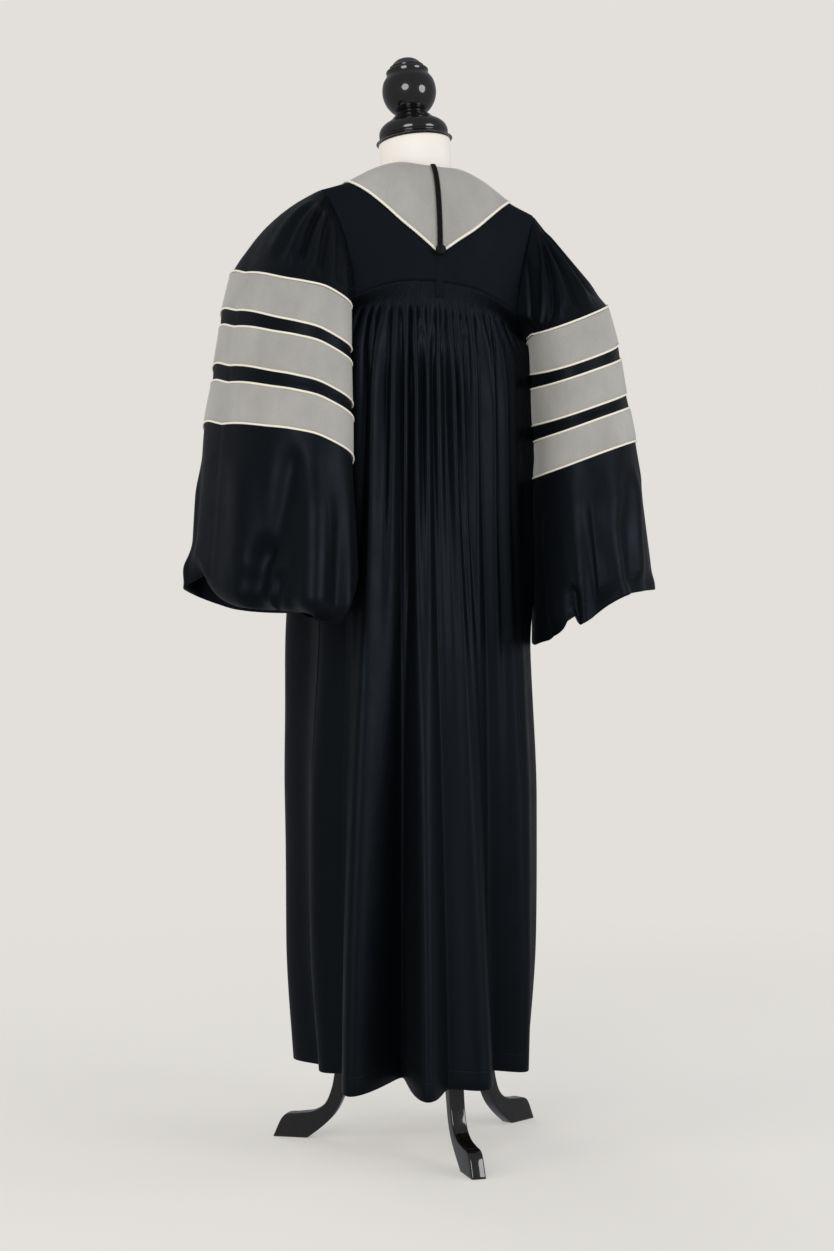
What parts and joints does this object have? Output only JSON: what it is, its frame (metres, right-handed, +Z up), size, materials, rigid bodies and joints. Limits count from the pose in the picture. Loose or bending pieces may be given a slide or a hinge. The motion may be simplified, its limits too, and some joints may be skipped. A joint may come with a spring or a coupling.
{
  "type": "graduation gown on a dress form",
  "caption": "Black doctoral graduation gown with bell sleeves, grey velvet facings and sleeve bars, ivory piping and a pleated back, hung on a limbless dress form.",
  "frame": {"origin": "on the floor, below the middle of the whole object's width and depth", "axes": "+X towards the wearer's left, -Y towards the front of the gown, +Z up"},
  "size_m": [0.6974, 0.4394, 1.6176],
  "materials": {
    "gown_cloth": "satin-faced polyester, black with a faint blue sheen",
    "velvet": "short-pile velvet, warm grey",
    "piping": "ivory satin piping",
    "cord": "black braided cord and cloth-covered button",
    "form_cover": "cream jersey stretched over the form",
    "black_wood": "turned and carved wood in gloss black lacquer"
  },
  "bodies": {
    "root": {"yoke_back": "gown_cloth", "back_panel": "gown_cloth", "front_left": "gown_cloth", "front_right": "gown_cloth", "sleeve_left": "gown_cloth", "sleeve_right": "gown_cloth", "back_tab": "gown_cloth", "velvet_back": "velvet", "velvet_front_left": "velvet", "velvet_front_right": "velvet", "bar_left_1": "velvet", "bar_left_2": "velvet", "bar_left_3": "velvet", "bar_right_1": "velvet", "bar_right_2": "velvet", "bar_right_3": "velvet", "piping_neck_left": "piping", "piping_neck_right": "piping", "piping_left_1_top": "piping", "piping_left_1_bottom": "piping", "piping_left_2_top": "piping", "piping_left_2_bottom": "piping", "piping_left_3_top": "piping", "piping_left_3_bottom": "piping", "piping_right_1_top": "piping", "piping_right_1_bottom": "piping", "piping_right_2_top": "piping", "piping_right_2_bottom": "piping", "piping_right_3_top": "piping", "piping_right_3_bottom": "piping", "hood_cord": "cord", "hood_button": "cord", "form_torso": "form_cover", "neck_cap": "black_wood", "finial": "black_wood", "pole": "black_wood", "hub": "black_wood", "leg_1": "black_wood", "leg_2": "black_wood", "leg_3": "black_wood"}
  },
  "joints": []
}
